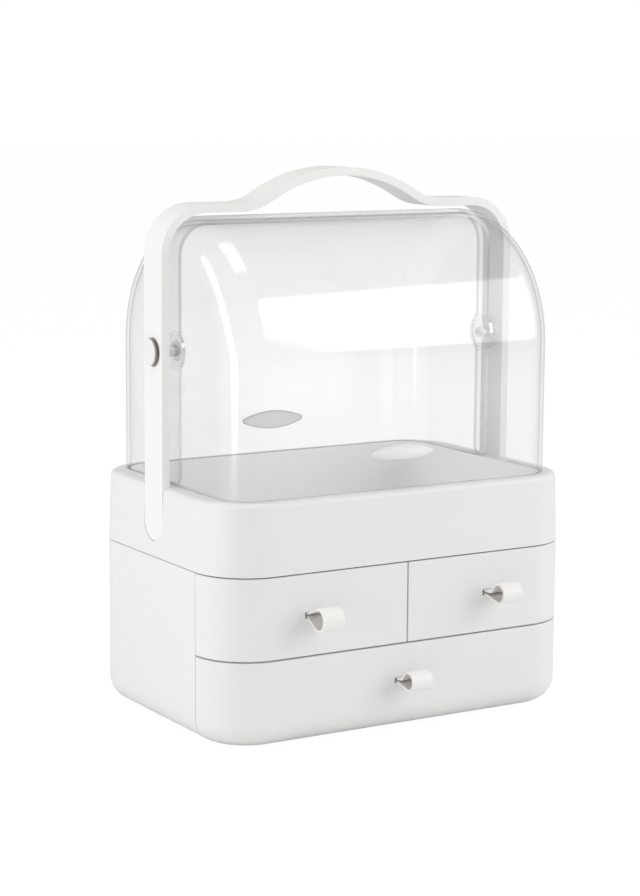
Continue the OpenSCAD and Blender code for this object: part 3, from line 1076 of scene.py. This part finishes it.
@dataclass
class Studio:
    """Pale floor, even room light, soft lamps."""

    floor_half: float = 12.0
    floor_drop: float = 0.2 * MM
    floor_grey: float = 0.9
    floor_glow: float = 1.02
    floor_white: float = 0.95
    room_diffuse: float = 0.54
    room_glossy: float = 0.5
    clear_layers: int = 48
    lamps: tuple[Lamp, ...] = (
        Lamp(
            "lamp_right",
            centre=(1.463, -1.364, 1.0),
            facing=(-0.687, 0.641, -0.342),
            long_way=(0.0, 0.0, 1.0),
            size=(1.5, 1.7),
            radiance=2.35,
        ),
        Lamp(
            "lamp_left",
            centre=(-1.272, -0.004, 0.47),
            facing=(0.961, -0.148, -0.232),
            long_way=(0.264, 0.739, 0.622),
            size=(0.3, 1.75),
            radiance=4.6,
        ),
        Lamp(
            "lamp_top",
            centre=(0.0, -0.1, 2.0),
            facing=(0.0, 0.0, -1.0),
            long_way=(0.0, 1.0, 0.0),
            size=(1.0, 1.0),
            radiance=2.3,
        ),
    )

    def build(self) -> None:
        """Sets how colours and clear layers show, and makes the room, the floor and the lamps."""
        self._view()
        self._room()
        self._floor()
        self._lamps()

    def _view(self) -> None:
        """Keeps colours as they are written and lets light through all the clear layers."""
        bpy.context.scene.view_settings.view_transform = "Standard"
        bpy.context.scene.cycles.transparent_max_bounces = self.clear_layers

    def _seen(self, tree: Nodes) -> Signal:
        """Tells looking from lighting.

        Args:
            tree: The tree.

        Returns:
            1 for rays from the camera and through glass, and 0 for all others.
        """
        straight, through = (
            tree.node("ShaderNodeLightPath", {}, {}, f"Is {kind} Ray")
            for kind in ("Camera", "Transmission")
        )
        return tree.node("ShaderNodeMath", {"operation": "MAXIMUM"}, {0: straight, 1: through})

    def _room(self) -> None:
        """White to the camera and through clear plastic, dimmer as light and in reflections."""
        world = bpy.data.worlds.new("studio_room")
        bpy.context.scene.world = world
        world.use_nodes = True
        tree = Nodes(world.node_tree)
        mirrored = tree.node("ShaderNodeLightPath", {}, {}, "Is Glossy Ray")
        dim = tree.node(
            "ShaderNodeMapRange",
            {},
            {"Value": mirrored, "To Min": self.room_diffuse, "To Max": self.room_glossy},
        )
        level = tree.node(
            "ShaderNodeMix",
            {"data_type": "FLOAT"},
            {"Factor": self._seen(tree), "A": dim, "B": 1.0},
        )
        light = tree.node("ShaderNodeBackground", {}, {"Color": WHITE, "Strength": level})
        out = tree.tree.nodes.new("ShaderNodeOutputWorld")
        tree.feed(out.inputs["Surface"], light)

    def _floor(self) -> None:
        """Pale floor that shows white and still takes the box's shadow."""
        mesh = bpy.data.meshes.new("floor")
        h, z = self.floor_half, -self.floor_drop
        mesh.from_pydata([(-h, -h, z), (h, -h, z), (h, h, z), (-h, h, z)], [], [(0, 1, 2, 3)])
        floor = add_object("floor", mesh)
        shader = Shader("pale_floor")
        shader.tree.nodes.remove(shader.bsdf)
        grey = (self.floor_grey, self.floor_grey, self.floor_grey, 1.0)
        diffuse = shader.node("ShaderNodeBsdfDiffuse", {}, {"Color": grey})
        glow = shader.node("ShaderNodeEmission", {}, {"Strength": self.floor_glow})
        shader.show(shader.mix(self._seen(shader) * self.floor_white, diffuse, glow))
        mesh.materials.append(shader.material)

    def _lamps(self) -> None:
        """Soft lamps round the box."""
        for lamp in self.lamps:
            lamp.build()


@dataclass
class Camera:
    """The camera that sees the box from its front left corner, a little from above."""

    eye: Place = (-0.897473, -1.450518, 0.464293)
    yaw: float = 31.193
    pitch: float = 9.155
    roll: float = 0.409
    focal_px: float = 2358.445
    principal_px: tuple[float, float] = (319.774, 449.287)
    image_px: tuple[int, int] = (640, 896)
    sensor_mm: float = 36.0
    far: float = 50.0

    def build(self) -> None:
        """Makes the camera and hands it to the scene."""
        yaw, pitch, roll = (math.radians(a) for a in (self.yaw, self.pitch, self.roll))
        flat = math.cos(pitch)
        ahead = Vector((math.sin(yaw) * flat, math.cos(yaw) * flat, -math.sin(pitch)))
        level = Vector((math.cos(yaw), -math.sin(yaw), 0.0))
        upright = level.cross(ahead)
        right = math.cos(roll) * level + math.sin(roll) * upright
        up = -math.sin(roll) * level + math.cos(roll) * upright
        turn = Matrix((right, up, -ahead)).transposed().to_4x4()
        data = bpy.data.cameras.new("studio_camera")
        long_side = max(self.image_px)
        data.sensor_width = self.sensor_mm
        data.lens = self.focal_px * self.sensor_mm / long_side
        data.shift_x = (self.image_px[0] / 2 - self.principal_px[0]) / long_side
        data.shift_y = (self.principal_px[1] - self.image_px[1] / 2) / long_side
        data.clip_end = self.far
        camera = add_object("studio_camera", data)
        camera.matrix_world = Matrix.Translation(self.eye) @ turn
        bpy.context.scene.camera = camera


def main() -> None:
    """Builds every part of the scene, in order."""
    logging.basicConfig(level=logging.INFO, format="%(name)s: %(message)s")
    palette = Palette()
    parts: list[SubAssembly] = [
        Cabinet(palette),
        Tray(palette),
        Handle(palette),
        Dome(palette),
        Pivots(palette),
        *(Drawer(palette, bay=bay) for bay in Bay),
    ]
    for part in parts:
        part.build()
        LOG.info("%s built", type(part).__name__)
    Studio().build()
    Camera().build()


if __name__ == "__main__":
    main()
